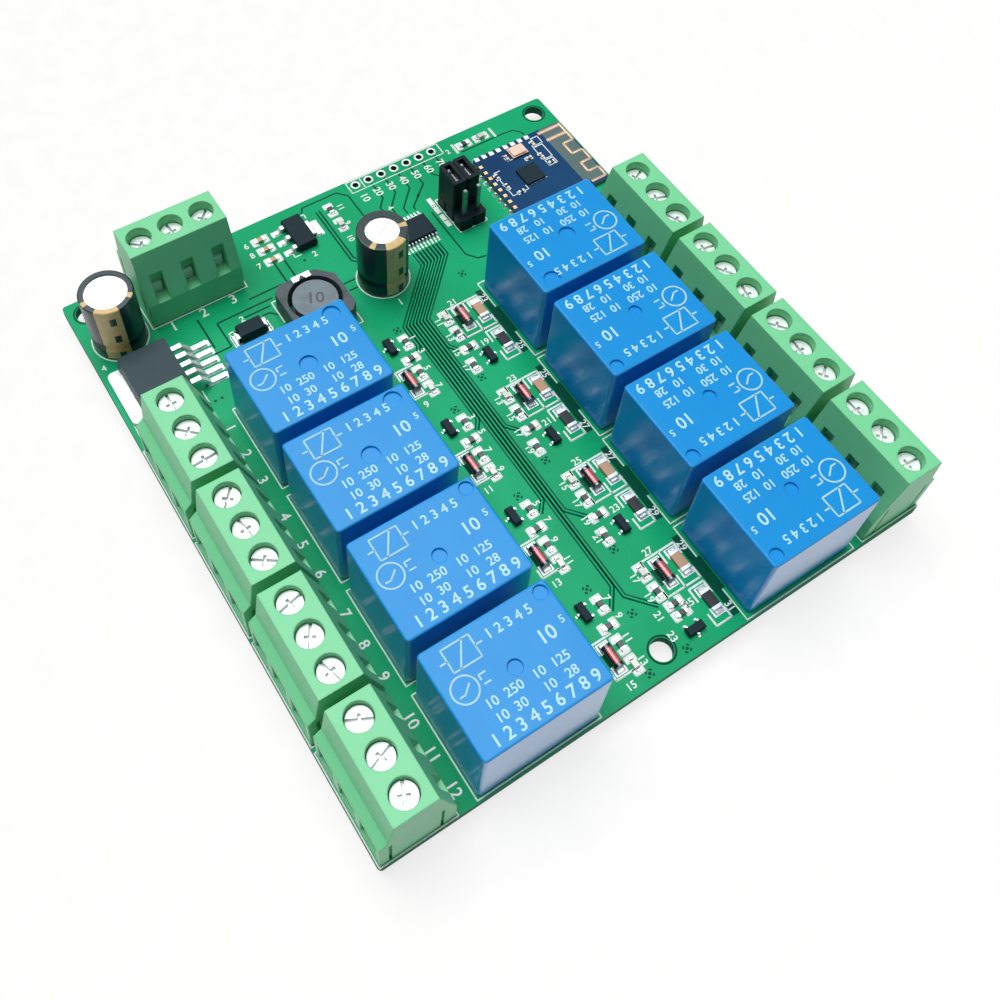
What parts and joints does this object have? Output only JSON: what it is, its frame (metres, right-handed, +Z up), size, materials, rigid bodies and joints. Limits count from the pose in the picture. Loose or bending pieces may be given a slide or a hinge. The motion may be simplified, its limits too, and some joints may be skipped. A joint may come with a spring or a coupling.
{
  "type": "relay module board",
  "caption": "Relay module on a green circuit board: sealed blue relays and green screw terminals along two sides, with power supply, controller and radio parts at one end.",
  "frame": {"origin": "middle of the board's outline in X and Y, at the tips of the longest pins below the board in Z", "axes": "+X from the west relay row to the east relay row, +Y towards the supply terminal's edge, +Z up, away from the board's component side"},
  "size_m": [0.0914, 0.0972, 0.0186],
  "materials": {
    "can_aluminium": "satin aluminium",
    "tinned_metal": "tinned",
    "sleeve_dark": "glossy dark sleeve",
    "chip_tan": "ceramic",
    "chip_black": "glazed ceramic",
    "board_green": "green lacquer on glass laminate",
    "package_black": "matt black moulding",
    "diode_glass": "reddish glass",
    "black_plastic": "matt black plastic",
    "gilt_metal": "gilt brass",
    "lamp_white": "white translucent plastic",
    "ferrite": "matt ferrite",
    "copper_wire": "enamelled copper wire",
    "board_blue": "blue lacquer on glass laminate",
    "crystal_lid": "pale metal lid",
    "soft_iron": "satin plated iron",
    "relay_blue": "glossy blue moulded plastic",
    "contact_metal": "silvered brass",
    "terminal_green": "glossy green plastic",
    "screw_steel": "bright plated steel"
  },
  "bodies": {
    "board": {"capacitor_cans": "can_aluminium", "capacitor_leads": "tinned_metal", "capacitor_sleeves": "sleeve_dark", "chip_capacitors": "chip_tan", "chip_resistors": "chip_black", "circuit_board": "board_green", "controller_body": "package_black", "controller_leads": "tinned_metal", "glass_diodes": "diode_glass", "header_base": "black_plastic", "header_pins": "gilt_metal", "indicator_leds": "lamp_white", "inductor_clips": "tinned_metal", "inductor_core": "ferrite", "inductor_shield": "ferrite", "inductor_winding": "copper_wire", "power_diode": "package_black", "radio_board": "board_blue", "radio_chip": "package_black", "radio_crystal": "crystal_lid", "regulator_body": "package_black", "regulator_lead_frame": "tinned_metal", "relay_bases": "black_plastic", "relay_cover_1": "relay_blue", "relay_cover_2": "relay_blue", "relay_cover_3": "relay_blue", "relay_cover_4": "relay_blue", "relay_cover_5": "relay_blue", "relay_cover_6": "relay_blue", "relay_cover_7": "relay_blue", "relay_cover_8": "relay_blue", "relay_fixed_contacts": "contact_metal", "relay_iron_frames": "soft_iron", "relay_pins": "tinned_metal", "relay_windings": "copper_wire", "small_regulator_body": "package_black", "small_regulator_lead_frame": "tinned_metal", "terminal_block_1": "terminal_green", "terminal_block_2": "terminal_green", "terminal_block_3": "terminal_green", "terminal_block_4": "terminal_green", "terminal_block_5": "terminal_green", "terminal_block_6": "terminal_green", "terminal_block_7": "terminal_green", "terminal_block_8": "terminal_green", "terminal_block_9": "terminal_green", "terminal_clamps": "screw_steel", "terminal_pins": "tinned_metal", "terminal_screws": "screw_steel", "transistors": "package_black"},
    "armature_1": {"relay_armature_1": "soft_iron"},
    "armature_2": {"relay_armature_2": "soft_iron"},
    "armature_3": {"relay_armature_3": "soft_iron"},
    "armature_4": {"relay_armature_4": "soft_iron"},
    "armature_5": {"relay_armature_5": "soft_iron"},
    "armature_6": {"relay_armature_6": "soft_iron"},
    "armature_7": {"relay_armature_7": "soft_iron"},
    "armature_8": {"relay_armature_8": "soft_iron"},
    "jumper_1": {"jumper_cap_1": "black_plastic"},
    "jumper_2": {"jumper_cap_2": "black_plastic"}
  },
  "joints": [
    {"name": "armature_hinge_1", "type": "hinge", "parent": "board", "child": "armature_1", "pos_m": [-0.01517, 0.01035, 0.01522], "axis": [0, -1, 0], "range_deg": [0, 2.4], "stiffness_Nm_per_rad": 0.002, "springref_deg": -5.73},
    {"name": "armature_hinge_2", "type": "hinge", "parent": "board", "child": "armature_2", "pos_m": [-0.01517, -0.0066, 0.01522], "axis": [0, -1, 0], "range_deg": [0, 2.4], "stiffness_Nm_per_rad": 0.002, "springref_deg": -5.73},
    {"name": "armature_hinge_3", "type": "hinge", "parent": "board", "child": "armature_3", "pos_m": [-0.01517, -0.02355, 0.01522], "axis": [0, -1, 0], "range_deg": [0, 2.4], "stiffness_Nm_per_rad": 0.002, "springref_deg": -5.73},
    {"name": "armature_hinge_4", "type": "hinge", "parent": "board", "child": "armature_4", "pos_m": [-0.01517, -0.0405, 0.01522], "axis": [0, -1, 0], "range_deg": [0, 2.4], "stiffness_Nm_per_rad": 0.002, "springref_deg": -5.73},
    {"name": "armature_hinge_5", "type": "hinge", "parent": "board", "child": "armature_5", "pos_m": [0.01628, 0.0106, 0.01522], "axis": [0, 1, 0], "range_deg": [0, 2.4], "stiffness_Nm_per_rad": 0.002, "springref_deg": -5.73},
    {"name": "armature_hinge_6", "type": "hinge", "parent": "board", "child": "armature_6", "pos_m": [0.01628, -0.00635, 0.01522], "axis": [0, 1, 0], "range_deg": [0, 2.4], "stiffness_Nm_per_rad": 0.002, "springref_deg": -5.73},
    {"name": "armature_hinge_7", "type": "hinge", "parent": "board", "child": "armature_7", "pos_m": [0.01628, -0.0233, 0.01522], "axis": [0, 1, 0], "range_deg": [0, 2.4], "stiffness_Nm_per_rad": 0.002, "springref_deg": -5.73},
    {"name": "armature_hinge_8", "type": "hinge", "parent": "board", "child": "armature_8", "pos_m": [0.01628, -0.04025, 0.01522], "axis": [0, 1, 0], "range_deg": [0, 2.4], "stiffness_Nm_per_rad": 0.002, "springref_deg": -5.73},
    {"name": "jumper_slide_1", "type": "slide", "parent": "board", "child": "jumper_1", "axis": [0, 0, 1], "range_m": [0, 0.006]},
    {"name": "jumper_slide_2", "type": "slide", "parent": "board", "child": "jumper_2", "axis": [0, 0, 1], "range_m": [0, 0.006]}
  ]
}
